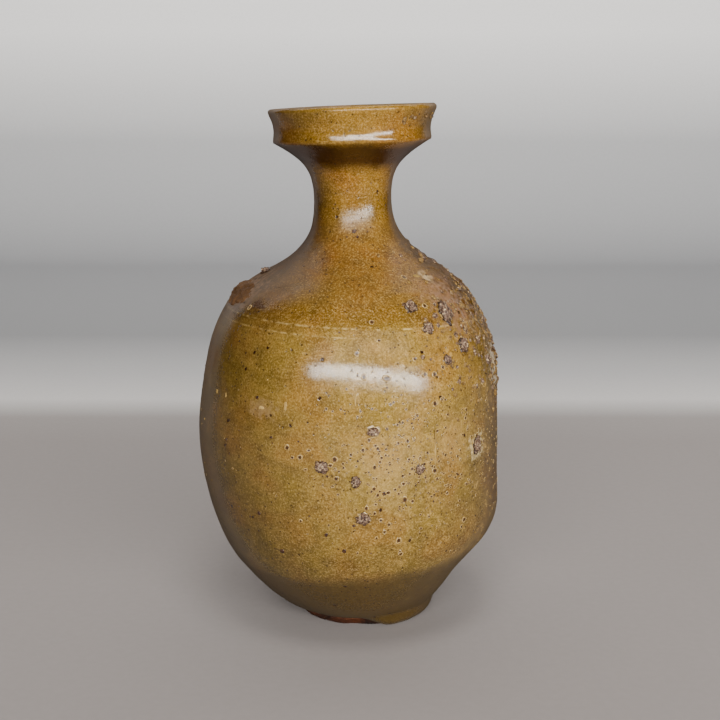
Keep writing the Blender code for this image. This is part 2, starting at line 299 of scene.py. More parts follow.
wander = 0.8 * MM * np.sin(3.1 * azimuth) + 0.5 * MM * np.sin(7.3 * azimuth + 1.0)
dip = DIP_LINE + DIP_RISE * np.sin(azimuth) + wander
glaze_skin = SKIN_THICK * ease(height, dip - SKIN_FADE, dip + SKIN_FADE)
glaze_roll = SKIN_ROLL * hump(height, dip + 1.5 * MM, 3.0 * MM)
shoulder_line = SHOULDER_LINE - SHOULDER_LEAN * np.sin(azimuth)
shoulder_roll = SHOULDER_ROLL * hump(height, shoulder_line, 0.9 * MM)
faint_line = FAINT_ROLL * hump(height, FAINT_LINE, 1.0 * MM) * hump(degrees, 22, 26)
relief = relief + outer * (glaze_skin + glaze_roll + shoulder_roll + faint_line)

RUNS = (
    # azimuth in degrees, top and bottom in mm, width in degrees, how thick in mm
    (31.3, 108, 91, 1.4, 0.55),
    (2.0, 129, 119, 1.0, 0.16),
    (-23.2, 122, 116, 1.0, 0.40),
    (61.0, 135, 104, 2.6, 0.28),
    (-140.0, 128, 96, 3.2, 0.26),
    (155.0, 120, 84, 3.0, 0.26),
    (-68.0, 140, 118, 2.2, 0.15),
)
for middle, top, bottom, width, thick in RUNS:
    along = ease(height, bottom * MM, (bottom + 3) * MM) * (1 - ease(height, (top - 6) * MM, top * MM))
    bead = 0.6 * hump(height, (bottom + 2.5) * MM, 2.2 * MM) * hump(degrees, middle, width * 1.3)
    relief = relief + outer * thick * MM * (along * hump(degrees, middle, width) + bead)
print("runs of glaze:", len(RUNS))

# %% The ash crust on the right shoulder
CRUST_THICK = 0.55 * MM
CRUST_LUMPS = 0.9 * MM
CRUST_GRAIN = 4.2 * MM
CRUST_HOLLOWS = -0.2 * MM

crust_zone = ease(degrees, 42, 62) * (1 - ease(degrees, 98, 118))
crust_zone = crust_zone * ease(height, 104 * MM, 126 * MM) * (1 - ease(height, 176 * MM, 186 * MM))
crust = crust_zone * (CRUST_THICK + CRUST_LUMPS * rough(places, CRUST_GRAIN, seed=21.0, octaves=4))
relief = relief + outer * np.maximum(crust, CRUST_HOLLOWS)
print("highest crust in mm: %.2f" % (crust.max() / MM))

# %% Move the skin, and let glaze run over the foot on the right
RUN_DOWN = 0.4 * MM
CURTAIN_TALL = 3.4 * MM
CURTAIN_OUT = 1.9 * MM

foot_centre = Vector(sum(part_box("base_disc"), Vector())) / 2
moved = places + normals * relief[:, None]
foot_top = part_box("lower_wall")[0].z
curtain = ease(degrees, 6, 34) * (1 - ease(degrees, 118, 146))
curtain = curtain * (1 - ease(height, foot_top, foot_top + CURTAIN_TALL)) * outer
moved[:, 2] = moved[:, 2] * (1 - curtain) + (RUN_DOWN + moved[:, 2] - foot_top) * curtain
away = moved[:, :2] - np.array(foot_centre.xy)
away = away / np.linalg.norm(away, axis=1)[:, None]
moved[:, :2] += away * (CURTAIN_OUT * curtain)[:, None]
wall.data.vertices.foreach_set("co", moved.ravel())
wall.data.update()
skin_normals = np.zeros(count * 3)
wall.data.vertices.foreach_get("normal", skin_normals)
kept_normals = wall.data.attributes.new("skin_normal", "FLOAT_VECTOR", "POINT")
kept_normals.data.foreach_set("vector", skin_normals)
print("relief in mm: %.2f to %.2f" % (relief.min() / MM, relief.max() / MM))

# %% [markdown]
# ## Places on the wall
# Everything stuck to the bottle is placed by how far round it sits and how high. A ray
# sent in from outside finds the real surface there, bumps and all.

# %% Find a seat on the wall
FROM_OUTSIDE = 0.15

graph = bpy.context.evaluated_depsgraph_get()
wall_tree = BVHTree.FromObject(wall, graph)


def seat(degrees_round, height_mm, lift=0.0):
    """Frame on the wall: X round the bottle, Y up the wall, Z outwards."""
    angle = math.radians(degrees_round)
    outward = Vector((math.sin(angle), -math.cos(angle), 0.0))
    start = Vector((AXIS, AXIS, height_mm * MM)) + outward * FROM_OUTSIDE
    spot, normal, _, _ = wall_tree.ray_cast(start, -outward)
    up = (Vector((0, 0, 1)) - normal * normal.z).normalized()
    round_it = up.cross(normal).normalized()
    axes = Matrix((round_it, up, normal)).transposed().to_4x4()
    return Matrix.Translation(spot + normal * lift) @ axes


print("belly stands out to", round(seat(0, 88).translation.length / MM, 1), "mm from the origin")

# %% [markdown]
# ## Back into sections
# The bottle keeps its real sections, so each can be named, weighed and coloured. The
# skin is split along the joints, and each ring is closed by bridging the edge loops that
# the cut left, outside to inside. A ring alone would light its edge differently from its
# neighbour and show a hairline, so the skin's own normals are given back along the joint.

# %% Split the skin and close each ring
JOINT_TURN = math.radians(50)


def open_loops(piece):
    """The open edge loops of a mesh, from the lowest to the highest, as edge indices."""
    used = {}
    for face in piece.data.polygons:
        for key in face.edge_keys:
            used[key] = used.get(key, 0) + 1
    edges = [edge for edge in piece.data.edges if used.get(edge.key) == 1]
    at = {}
    for edge in edges:
        for vertex in edge.vertices:
            at.setdefault(vertex, []).append(edge)
    left = {edge.index: edge for edge in edges}
    loops = []
    while left:
        _, edge = left.popitem()
        loop, heads = [edge], list(edge.vertices)
        while heads:
            for other in at[heads.pop()]:
                if other.index in left:
                    del left[other.index]
                    loop.append(other)
                    heads.extend(other.vertices)
        loops.append(loop)
    points = piece.data.vertices
    return sorted(loops, key=lambda loop: sum(points[e.vertices[0]].co.z for e in loop) / len(loop))


def close_ring(piece):
    """Bridges the open loops of a ring in pairs, the lower pair and then the upper."""
    loops = open_loops(piece)
    joint = [vertex for loop in loops for edge in loop for vertex in edge.vertices]
    skin_faces = len(piece.data.polygons)
    pairs = [[edge.index for edge in low + high] for low, high in zip(loops[::2], loops[1::2])]
    for pair in pairs:
        in_edit(piece, "EDGE")
        for index in pair:
            piece.data.edges[index].select = True
        bpy.ops.object.mode_set(mode="EDIT")
        bpy.ops.mesh.bridge_edge_loops()
        bpy.ops.object.mode_set(mode="OBJECT")
    take(piece)
    bpy.ops.object.shade_smooth_by_angle(angle=JOINT_TURN)
    light_as_one(piece, joint, skin_faces)


def light_as_one(piece, joint, skin_faces):
    """Gives the skin's own normals back to the corners that lie along a joint."""
    mesh = piece.data
    corner_count = len(mesh.loops)
    normals = np.zeros(corner_count * 3)
    mesh.corner_normals.foreach_get("vector", normals)
    skin = np.zeros(len(mesh.vertices) * 3)
    mesh.attributes["skin_normal"].data.foreach_get("vector", skin)
    vertex_of = np.zeros(corner_count, dtype=int)
    mesh.loops.foreach_get("vertex_index", vertex_of)
    on_skin = np.arange(corner_count) < mesh.polygons[skin_faces].loop_start
    chosen = on_skin & np.isin(vertex_of, joint)
    normals = normals.reshape(-1, 3)
    normals[chosen] = skin.reshape(-1, 3)[vertex_of[chosen]]
    mesh.normals_split_custom_set(normals)
    print(piece.name, int(chosen.sum()), "corners lit as one with the next ring")


take(wall)
bpy.ops.object.mode_set(mode="EDIT")
bpy.ops.mesh.separate(type="MATERIAL")
bpy.ops.object.mode_set(mode="OBJECT")
fired = {}
for piece in list(bpy.context.selected_objects):
    node = piece.material_slots[piece.data.polygons[0].material_index].material.name[len("section_"):]
    piece.name = node + "_fired"
    fired[node] = piece
for node in SECTIONS:
    close_ring(fired[node])
    still_open = len(open_loops(fired[node]))
    print(fired[node].name, len(fired[node].data.polygons), "faces,", still_open, "open loops")

# %% [markdown]
# ## The foot
# The base is a flat disc of the bare red-brown clay. It was never turned smooth: its rim is
# ragged, a chip is gone at the front, and the underside keeps the arcs that the twisted
# string left when the pot was cut from the wheel. The CAD disc is refined and then worn.

# %% Foot disc
CHIP_AT = -5.0
CHIP_WIDTH = 9.0
CHIP_DEEP = 1.8
RIM_STARTS = 28.5 * MM
RIM_WIDE = 2.5 * MM
STRING_ARCS = 0.55 * MM


def foot_disc():
    """The base disc, with a worn and chipped rim and string-cut arcs underneath."""
    piece = merged_copy("base_disc")
    piece.name = "base_disc_fired"
    refine = piece.modifiers.new("refine", "SUBSURF")
    refine.subdivision_type = "SIMPLE"
    refine.levels = refine.render_levels = 3
    bpy.ops.object.modifier_apply(modifier=refine.name)
    rim = foot_centre.xy
    for vertex in piece.data.vertices:
        spot = vertex.co.copy()
        from_middle = spot.xy - rim
        angle = math.degrees(math.atan2(from_middle.x, -from_middle.y))
        worn = noise.fractal(spot / (3.0 * MM), 1.0, 2.0, 4)
        edge = min(max((from_middle.length - RIM_STARTS) / RIM_WIDE, 0.0), 1.0)
        chip = math.exp(-((angle - CHIP_AT) / CHIP_WIDTH) ** 2)
        inward = from_middle.normalized() * (0.45 * worn + 0.25 + CHIP_DEEP * chip) * MM * edge
        vertex.co.xy -= inward
        if spot.z < 0.05 * MM:
            arcs = math.sin((spot.x * 0.94 + spot.y * 0.34 + 4.0 * spot.y * spot.y) / STRING_ARCS)
            vertex.co.z += (0.10 + 0.10 * arcs) * MM * (1.0 - edge) + 0.15 * MM * max(worn, 0.0)
    take(piece)
    bpy.ops.object.shade_smooth_by_angle(angle=math.radians(40))
    return piece


foot = foot_disc()
fired["base_disc"] = foot
print(foot.name, len(foot.data.polygons), "faces")

# %% [markdown]
# ## Grit fused to the glaze
# Twelve lumps of kiln grit stuck to the bottle while the glaze was soft. Each is a knob
# with a rough, half-melted skin, and glaze drawn up round its foot. A ball is roughened
# with two Displace modifiers, one for its shape and one for its skin, and then pressed
# into its seat on the wall. Each vertex remembers how high it stands, so the material
# can darken the foot of the lump with dark glaze and painted shade where it meets the wall.

# %% A rough knob
KNOB_BUMPS = ((0.75, 1.15), (0.33, 0.55))  # size and strength, as shares of the radius
PRESSED = 0.80
GRIT_TINT = 0.9


def rough_ball(name, fineness):
    """Ball of radius one with a lumpy, half-melted skin."""
    let_go()
    bpy.ops.mesh.primitive_ico_sphere_add(subdivisions=fineness, radius=1.0)
    ball = bpy.context.object
    ball.name = name
    for size, strength in KNOB_BUMPS:
        pattern = bpy.data.textures.new(f"{name}_{size:.2f}", "CLOUDS")
        pattern.noise_scale = size
        push = ball.modifiers.new("push", "DISPLACE")
        push.texture = pattern
        push.texture_coords = "LOCAL"
        push.strength = strength
        bpy.ops.object.modifier_apply(modifier=push.name)
    bpy.ops.object.shade_smooth()
    return ball


def remember(piece, name, values):
    """Stores one number at each vertex, for a material to read."""
    kept = piece.data.attributes.new(name, "FLOAT", "POINT")
    kept.data.foreach_set("value", values)


def remember_rise(piece, top, tint):
    """Stores how far each vertex stands above the wall, from nought to one, and a tint."""
    remember(piece, "rise", [min(max(v.co.z / top, 0.0), 1.0) for v in piece.data.vertices])
    remember(piece, "tint", [tint] * len(piece.data.vertices))


def press_on(piece, width, length, top, where, turn):
    """Turns a ball of radius one, scales it to size and presses it into its seat."""
    piece.data.transform(Euler((1.3 * turn, 0.7 * turn, turn)).to_matrix().to_4x4())
    piece.data.transform(Matrix.Diagonal((width / 2, length / 2, top * PRESSED, 1.0)))
    remember_rise(piece, top, GRIT_TINT)
    piece.data.transform(where)
    return piece


# %% Twelve lumps, each where the CAD has one
SPREAD = 1.08
SUNK = 0.95
TURN_EACH = 1.7


def where_round(node):
    """How far round the bottle, in degrees, and how high, in mm, a CAD node's middle sits."""
    low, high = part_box(node)
    middle = (low + high) / 2
    return math.degrees(math.atan2(middle.x - AXIS, AXIS - middle.y)), middle.z / MM


def cad_size(node, where):
    """Width, length and rise of a CAD node in the frame of its seat on the wall."""
    back = where.inverted()
    spots = [back @ vertex.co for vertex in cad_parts[node].data.vertices]
    return [max(s[i] for s in spots) - min(s[i] for s in spots) for i in range(3)]


grit_nodes = sorted(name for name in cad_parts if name.startswith("kiln_grit"))
for number, node in enumerate(grit_nodes, start=1):
    where = seat(*where_round(node))
    width, length, top = cad_size(node, where)
    ball = rough_ball(node + "_fired", 4)
    fired[node] = press_on(ball, width * SPREAD, length * SPREAD, top * SUNK, where, TURN_EACH * number)
print("lumps of grit:", len(grit_nodes))

# %% [markdown]
# ## The flake on the left shoulder
# A neighbouring pot touched this one in the fire and tore away, leaving a thin flake of
# its own dry clay with a broken spur. The CAD flake already curves with the shoulder, so a
# copy is refined, given a torn skin, and sunk a little into the glaze. Where its thin edge
# dips under, the outline comes out ragged, as a real break does.

# %% Stuck flake
FLAKE_SINK = 1.15
FLAKE_TORN = 0.34
FLAKE_LEAN = 30 * MM


def torn_flake():
    """The CAD flake with a torn skin and a ragged edge that dips into the glaze."""
    piece = merged_copy("stuck_shard")
    piece.name = "stuck_shard_fired"
    refine = piece.modifiers.new("refine", "SUBSURF")
    refine.levels = refine.render_levels = 4
    bpy.ops.object.modifier_apply(modifier=refine.name)
    bpy.ops.object.shade_smooth()
    spots = [vertex.co.copy() for vertex in piece.data.vertices]
    outwards = [(spot - Vector((AXIS, AXIS, spot.z - FLAKE_LEAN))).normalized() for spot in spots]
    for vertex, spot, outward in zip(piece.data.vertices, spots, outwards):
        torn = FLAKE_TORN * noise.fractal(spot / (1.6 * MM), 1.0, 2.0, 4)
        ragged = noise.noise(spot / (3.0 * MM))
        vertex.co = spot + outward * (torn + ragged - FLAKE_SINK) * MM
    return piece


fired["stuck_shard"] = torn_flake()
print("flake:", len(fired["stuck_shard"].data.polygons), "faces")

# %% [markdown]
# ## Crumbs in the crust
# The ash crust on the right shoulder is full of crumbs of grit, too many to model one by
# one. One crumb is shaped from a small cube, copied with its own mesh, squeezed and turned
# at random, and the copies are joined into one piece. The draw is seeded, so the crust is
# the same every time.

# %% One crumb, copied over the crust
CRUMBS = 420


def one_crumb():
    """Small cube, subdivided once and rounded."""
    let_go()
    bpy.ops.mesh.primitive_cube_add(size=2.0)
    crumb = bpy.context.object
    bpy.ops.object.mode_set(mode="EDIT")
    bpy.ops.mesh.select_all(action="SELECT")
    bpy.ops.mesh.subdivide(number_cuts=1)
    bpy.ops.transform.tosphere(value=0.7)
    bpy.ops.object.mode_set(mode="OBJECT")
    return crumb


def scatter(pattern, total, name, draw, jitter, tumble=False, turn=math.pi):
    """Copies of a pattern mesh, each placed by draw(), joined into one piece."""
    copies = []
    for _ in range(total):
        where, size = draw()
        copy = bpy.data.objects.new(name, pattern.data.copy())
        bpy.context.collection.objects.link(copy)
        for vertex in copy.data.vertices:
            vertex.co *= 1.0 + random.uniform(-jitter, jitter)
        spin = Euler([random.uniform(-turn, turn) * (axis == 2 or tumble) for axis in range(3)])
        copy.data.transform(spin.to_matrix().to_4x4())
        copy.data.transform(Matrix.Diagonal((*size, 1.0)))
        remember_rise(copy, size[2], random.random())
        copy.data.transform(where)
        copies.append(copy)
    take(*copies)
    bpy.ops.object.join()
    piece = bpy.context.object
    piece.name = name
    bpy.data.objects.remove(pattern)
    return piece


def crumb_place():
    """A crumb on the right shoulder, thickest near the widest part of the crust."""
    round_it = random.gauss(76, 21)
    high = random.triangular(104, 186, 150)
    across = random.uniform(0.4, 1.3) * random.uniform(0.6, 1.1) * MM
    size = (across, across * random.uniform(0.7, 1.4), across * random.uniform(0.45, 0.75))
    return seat(round_it, high, lift=-0.1 * across), size


random.seed(4)
crumbs = scatter(one_crumb(), CRUMBS, "crust_crumbs", crumb_place, 0.22, tumble=True)
print("crumbs:", CRUMBS, "with", len(crumbs.data.polygons), "faces")

# %% Grit that fell on the lip
def lip_place():
    """Grit on the outside of the collar, mostly on the right."""
    round_it = random.choice((40, 65, 66, 96, 150, -110, -160)) + random.uniform(-9, 9)
    high = random.uniform(241, 245.5)
    across = random.uniform(0.35, 0.85) * MM
    return seat(round_it, high, lift=0.1 * across), (across, across * 0.9, across * 0.7)


random.seed(11)
lip_grit = scatter(one_crumb(), 24, "lip_grit", lip_place, 0.2, tumble=True)
print("lip grit:", len(lip_grit.data.polygons), "faces")

# %% [markdown]
# ## Blisters in the glaze
# Gas boiled out of the clay and burst through the melted ash. Each burst bubble healed
# into a small ring, cream on its rim and brown in its hollow. One ring is drawn from a
# disc by insets, out, up, over and down, and then copied. It keeps the distance from its
# middle at every vertex, so that the rim and the hollow can take their own colours.

# %% One burst bubble
RING_SIDES = 14
RING_STEPS = ((0.18, 0.62), (0.12, 0.14), (0.15, -0.20), (0.27, -0.02))  # in, and up or down


def one_blister():
    """Ring of radius and height about one, with a hollow in its middle."""
    let_go()
    bpy.ops.mesh.primitive_circle_add(vertices=RING_SIDES, radius=1.0, fill_type="NGON")
    ring = bpy.context.object
    bpy.ops.object.mode_set(mode="EDIT")
    bpy.ops.mesh.select_mode(type="FACE")
    bpy.ops.mesh.select_all(action="SELECT")
    for thickness, depth in RING_STEPS:
        bpy.ops.mesh.inset(thickness=thickness, depth=depth)
    bpy.ops.mesh.poke()
    bpy.ops.object.mode_set(mode="OBJECT")
    bpy.ops.object.shade_smooth()
    remember(ring, "from_middle", [min(v.co.xy.length, 1.0) for v in ring.data.vertices])
    return ring


ring_faces = len(one_blister().data.polygons)
print("one blister has", ring_faces, "faces")
bpy.data.objects.remove(bpy.context.object)

# %% Blisters seen one by one, and a random field on the ash side
KNOWN_BLISTERS = (
    # azimuth in degrees, height in mm, radius in mm
    (9.3, 155.5, 1.6), (36.6, 160.5, 1.7), (13.5, 132.0, 2.4), (5.2, 133.0, 1.3),
    (2.7, 142.9, 1.3), (11.6, 148.0, 1.2), (28.6, 132.4, 1.5), (32.7, 131.9, 1.5),
    (25.2, 139.4, 1.3), (19.6, 76.8, 1.7), (13.4, 80.8, 1.5), (17.7, 57.5, 1.6),
    (18.9, 50.5, 1.4), (23.2, 90.4, 1.2), (31.4, 88.4, 2.0), (25.3, 95.1, 1.2),
    (46.7, 60.8, 1.9), (-5.2, 96.7, 1.6), (-4.7, 88.0, 1.5), (-22.1, 100.8, 1.4),
    (-17.4, 96.9, 1.4), (-20.2, 96.5, 1.1), (-14.2, 100.4, 1.2), (52.7, 93.7, 1.7),
    (54.0, 99.5, 1.4), (35.0, 172.0, 1.6), (-53.0, 158.0, 1.4),
)
FIELD = 580
CROWDED = 0.42
RING_SUNK = -0.13 * MM
RING_RISE = 0.36 * MM
ROUND_GRIT = tuple((*where_round(node), 0.6 * cad_size(node, seat(*where_round(node)))[0] / MM)
                   for node in grit_nodes[:11])
known = iter(KNOWN_BLISTERS + ROUND_GRIT)


def ring_size(radius):
    """A ring is seldom quite round."""
    return (radius * MM, radius * random.uniform(0.65, 1.3) * MM, RING_RISE)


def known_place():
    """The large rings, one by one, and one round the foot of each lump."""
    round_it, high, radius = next(known)
    return seat(round_it, high, lift=RING_SUNK), ring_size(radius)


def field_place():
    """Most rings sit on the side where the ash landed, few on the shaded side."""
    if random.random() < CROWDED:
        crowd = random.gauss(24, 15), random.gauss(92, 15)
        return seat(*crowd, lift=RING_SUNK), ring_size(random.uniform(0.4, 1.15))
    while True:
        round_it = random.uniform(-180, 180)
        from_ash = abs((round_it - 48 + 180) % 360 - 180)
        if random.random() < 0.10 + 0.90 * math.exp(-(from_ash / 48) ** 2):
            break
    high = random.triangular(44, 146, 92)
    return seat(round_it, high, lift=RING_SUNK), ring_size(min(0.28 + random.expovariate(3.4), 1.6))


random.seed(7)
blisters = scatter(one_blister(), len(KNOWN_BLISTERS + ROUND_GRIT), "blister_rings",
                   known_place, 0.22)
small_blisters = scatter(one_blister(), FIELD, "small_blisters", field_place, 0.22)
print("blisters:", len(KNOWN_BLISTERS), "+", FIELD)

# %% [markdown]
# ## Iron pits
# Grains of iron ore in the clay melted and bled out, and each left a dark, glassy dimple. A
# pit is shallower than a blister but has the same form, so the same ring is used, smaller
# and with a skin of melted iron.

# %% Iron pits
PITS = (
    # azimuth in degrees, height in mm, radius in mm
    (-35.1, 67.1, 1.1), (-39.8, 64.2, 0.6), (-27.0, 49.5, 1.4), (-8.5, 61.0, 0.9), (-2.1, 53.1, 1.0),
    (1.4, 65.8, 0.9), (-7.8, 89.0, 0.6), (-35.5, 121.1, 0.9), (5.0, 191.5, 1.1), (8.5, 189.0, 0.8),
    (12.0, 80.5, 1.0), (-18.0, 104.0, 0.6), (-28.5, 104.5, 0.8), (120.0, 84.0, 1.2),
    (-120.0, 62.0, 1.1), (172.0, 110.0, 0.9), (-150.0, 96.0, 1.3),
)
FINE_PITS = 110
PIT_SUNK = -0.09 * MM
PIT_RISE = 0.34 * MM
listed_pits = iter(PITS)


def pit_place():
    """The pits that stand out, and then fine ones scattered over the body."""
    round_it, high, radius = next(listed_pits, None) or (
        random.uniform(-180, 180), random.triangular(42, 205, 80), random.uniform(0.25, 0.6))
    size = (radius * MM, radius * random.uniform(0.7, 1.1) * MM, PIT_RISE)
    return seat(round_it, high, lift=PIT_SUNK), size


random.seed(23)
iron_pits = scatter(one_blister(), len(PITS) + FINE_PITS, "iron_pits", pit_place, 0.20)
print("pits:", len(PITS), "+", FINE_PITS)

# %% [markdown]
# ## Chips of feldspar
# The clay holds grains of feldspar that the fire turned into pale, waxy chips, and some
# pushed up through the glaze. They are flat and lie with the wall, so the crumb is copied
# once more, thin and hardly turned.

# %% Chips of feldspar in the glaze
CHIPS = (
    # azimuth in degrees, height in mm, half width and half length in mm
    (-23.2, 119.4, 0.6, 1.7), (-59.1, 118.9, 0.6, 0.9), (-52.3, 118.8, 0.4, 0.9),
    (31.3, 99.5, 0.42, 7.0), (54.0, 96.6, 1.2, 2.0), (49.5, 141.4, 1.6, 1.1),
    (2.0, 124.0, 0.35, 2.6), (45.0, 172.0, 1.3, 0.9), (-33.0, 117.0, 1.1, 0.7),
)
FINE_CHIPS = 30
CHIP_SUNK = -0.04 * MM
CHIP_RISE = 0.22 * MM
listed = iter(CHIPS)


def chip_place():
    """The chips that stand out, and then fine ones scattered over the belly."""
    found = next(listed, None)
    if found:
        round_it, high, wide, long = found
    else:
        round_it = random.choice((-1, 1, 1)) * random.triangular(12, 165, 42)
        high = random.triangular(46, 150, 100)
        wide = random.uniform(0.15, 0.35)
        long = wide * random.uniform(0.8, 1.5)
    return seat(round_it, high, lift=CHIP_SUNK), (wide * MM, long * MM, CHIP_RISE)


random.seed(19)
chips = scatter(one_crumb(), len(CHIPS) + FINE_CHIPS, "feldspar_chips", chip_place, 0.25, turn=0.15)
print("chips:", len(CHIPS) + FINE_CHIPS)

# %% [markdown]
# ## A small toolbox for materials
# Colours are read off the real surface as sRGB, and Blender wants them linear, so one
# function turns them. Another adds a node, sets it and links it in one line. Pattern
# sizes are given in millimetres, and a texture wants the number of cells in a metre.

# %% Colours and nodes
def srgb(code):
    """Linear colour from a hex code."""
    parts = [int(code[i:i + 2], 16) / 255 for i in (1, 3, 5)]
    return tuple(c / 12.92 if c <= 0.04045 else ((c + 0.055) / 1.055) ** 2.4 for c in parts) + (1.0,)


def cells(size_mm):
    """Texture scale for a pattern whose features are about this size."""
    return 1.0 / (size_mm * MM)


def live_output(node):
    """The first output that a node offers with its present settings."""
    return next(out for out in node.outputs if out.enabled)


def add(tree, kind, inputs=None, stops=None, **settings):
    """Adds a shader node. Inputs that are nodes or sockets are linked, and others are set."""
    node = tree.nodes.new("ShaderNode" + kind)
    for name, value in settings.items():
        setattr(node, name, value)
    for key, value in (inputs or {}).items():
        if isinstance(value, bpy.types.Node):
            value = live_output(value)
        if isinstance(value, bpy.types.NodeSocket):
            tree.links.new(value, node.inputs[key])
        else:
            node.inputs[key].default_value = value
    if stops:
        ramp = node.color_ramp.elements
        while len(ramp) < len(stops):
            ramp.new(1.0)
        for element, (position, colour) in zip(ramp, stops):
            element.position = position
        for element, (position, colour) in zip(ramp, stops):
            element.color = srgb(colour) if isinstance(colour, str) else (colour,) * 3 + (1.0,)
    return node


def feed(node, shader, socket):
    """Links a node to a socket of the shader."""
    node.id_data.links.new(live_output(node), shader.inputs[socket])


def new_material(name):
    """A material with a Principled shader, its tree, and object coordinates in metres."""
    material = bpy.data.materials.new(name)
    material.use_nodes = True
    tree = material.node_tree
    shader = tree.nodes["Principled BSDF"]
    coords = tree.nodes.new("ShaderNodeTexCoord").outputs["Object"]
    return material, tree, shader, coords


# %% [markdown]
# ## Natural ash glaze
# The glaze is wood ash that settled, melted and ran over stoneware: an uneven, glossy
# skin, olive-brown where thin and ochre where thick. To the eye it is granular, full of
# brown specks and cream flecks, paler and crowded with rings on the right. Painted shade
# darkens it by how far round it is: darker and browner on the left, darker at the right edge
# and round the back. It is laid on in the order of the next cells, and the same
# pattern runs over every section, so that colour never jumps at a joint.

# %% Colours of the ash glaze
BY_HEIGHT = (
    (0.00, "#4f3f1c"), (0.20, "#80662c"), (0.34, "#8d7134"), (0.50, "#967838"),
    (0.600, "#957636"), (0.625, "#7c5b20"), (0.72, "#765117"), (0.80, "#8a651f"),
    (0.870, "#936a1e"), (0.935, "#8a651f"), (1.00, "#946f25"),
)
# Painted shade by how far round the bottle: darker on the left, at the right edge and at the back.
PAINTED_SHADE_ROUND = (
    (0.00, "#b9b9b9"), (0.22, "#9b8d85"), (0.27, "#7d6a60"), (0.33, "#7c7264"), (0.40, "#b6b4aa"),
    (0.48, "#f6f6f6"), (0.54, "#ffffff"), (0.62, "#f6f4f0"), (0.66, "#c8c3ba"), (0.695, "#8f877c"),
    (0.73, "#8b8276"), (1.00, "#b9b9b9"),
)
PATCHES = (
    # azimuth and height of the middle, half width in degrees and half height in mm, colour, strength
    (-76.0, 163.0, 22.0, 8.0, "#6a4f36", 0.75),
    (-48.5, 159.5, 7.0, 3.0, "#35200f", 0.85),
    (-33.0, 116.5, 7.0, 4.5, "#8f7653", 0.40),
    (15.0, 90.0, 17.0, 19.0, "#bb9d62", 0.24),
    (40.0, 101.0, 10.0, 12.0, "#ad8a52", 0.25),
    (54.0, 94.0, 5.0, 6.0, "#d0bb8c", 0.65),
    (75.0, 127.0, 6.0, 10.0, "#bcae96", 0.70),
    (51.0, 171.0, 4.0, 2.4, "#c4ad80", 0.50),
    (52.0, 158.0, 13.0, 13.0, "#846450", 0.50),
)
# Painted shade under the overhang of the dish, by height.
UNDER_DISH_SHADE_STOPS = ((0.872, 0.0), (0.893, 1.0), (0.920, 1.0), (0.932, 0.0))
UNDER_DISH_SHADE_BROWN = "#2c1606"
GLAZE_SHINE = 0.37
BELOW_DIP = "#3f2f10"
DIP_FADE = 3.4 * MM
GRANULE_BROWN = "#3a2208"
GRANULE_CREAM = "#c6a76c"
SPECK_BROWN = "#2a1708"
PORE_OCHRE = "#ae8d50"
GLASS_IOR = 1.52  # of glaze, which is a glass
CREAM_LINE = "#bda46c"
SECOND_LINE = 3.8 * MM
HEIGHT_SPAN = cad_box[1].z - cad_box[0].z


def patch(tree, base, round_it, z, torn, spot):
    """Lays one ragged patch of another colour over the base colour."""
    middle, high, wide, tall, colour, strength = spot
    left, right = math.radians(middle - wide), math.radians(middle + wide)
    across = add(tree, "MapRange", {0: round_it, 1: left, 2: right, 3: -1.0, 4: 1.0}, clamp=False)
    low, top = (high - tall) * MM, (high + tall) * MM
    upward = add(tree, "MapRange", {0: z, 1: low, 2: top, 3: -1.0, 4: 1.0}, clamp=False)
    away = add(tree, "CombineXYZ", {0: across, 1: upward})
    away = add(tree, "VectorMath", {0: away}, operation="LENGTH")
    away = add(tree, "Math", {0: away.outputs["Value"], 1: torn}, operation="ADD")
    laid = add(tree, "MapRange", {0: away, 1: 1.15, 2: 0.25, 3: 0.0, 4: strength})
    return add(tree, "Mix", {0: laid, 6: base, 7: srgb(colour)}, data_type="RGBA")


